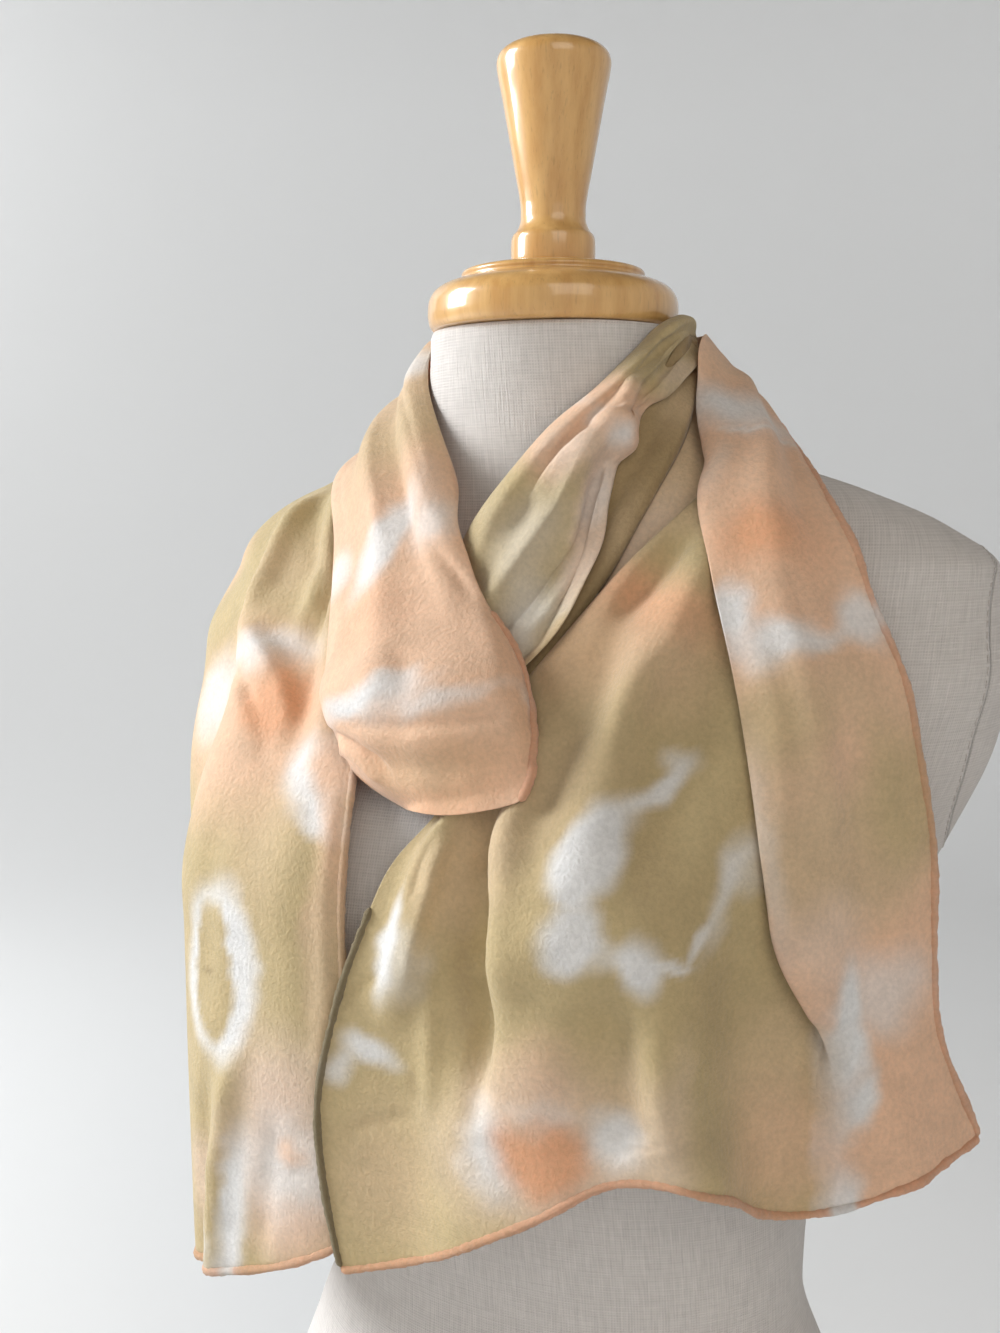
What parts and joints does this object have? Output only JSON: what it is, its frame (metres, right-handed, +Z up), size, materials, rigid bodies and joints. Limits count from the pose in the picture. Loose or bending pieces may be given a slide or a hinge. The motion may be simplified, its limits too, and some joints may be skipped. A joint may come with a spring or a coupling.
{
  "type": "chiffon scarf on dress form",
  "caption": "Long chiffon scarf wound round the neck of a padded dress form, both ends hanging in front, under a turned wood neck cap",
  "frame": {"origin": "centre of the base board's underside, where the form stands", "axes": "+Z up, the form faces -Y, its left side is +X"},
  "size_m": [0.3978, 0.2665, 0.7755],
  "materials": {
    "chiffon": "sheer crepe chiffon, hand-dyed in peach, olive and white, soft matt sheen",
    "linen": "pale natural linen, fine plain weave, matt",
    "varnished_wood": "turned beech, amber gloss varnish",
    "plain_wood": "plain oiled board"
  },
  "bodies": {
    "root": {"left_tail": "chiffon", "knot_flap": "chiffon", "cowl": "chiffon", "inner_band": "chiffon", "under_band": "chiffon", "front_panel": "chiffon", "shoulder_panel": "chiffon", "neck_back_inner": "chiffon", "neck_back_outer": "chiffon", "form_torso": "linen", "neck_cap": "varnished_wood", "finial": "varnished_wood", "base_board": "plain_wood"}
  },
  "joints": []
}
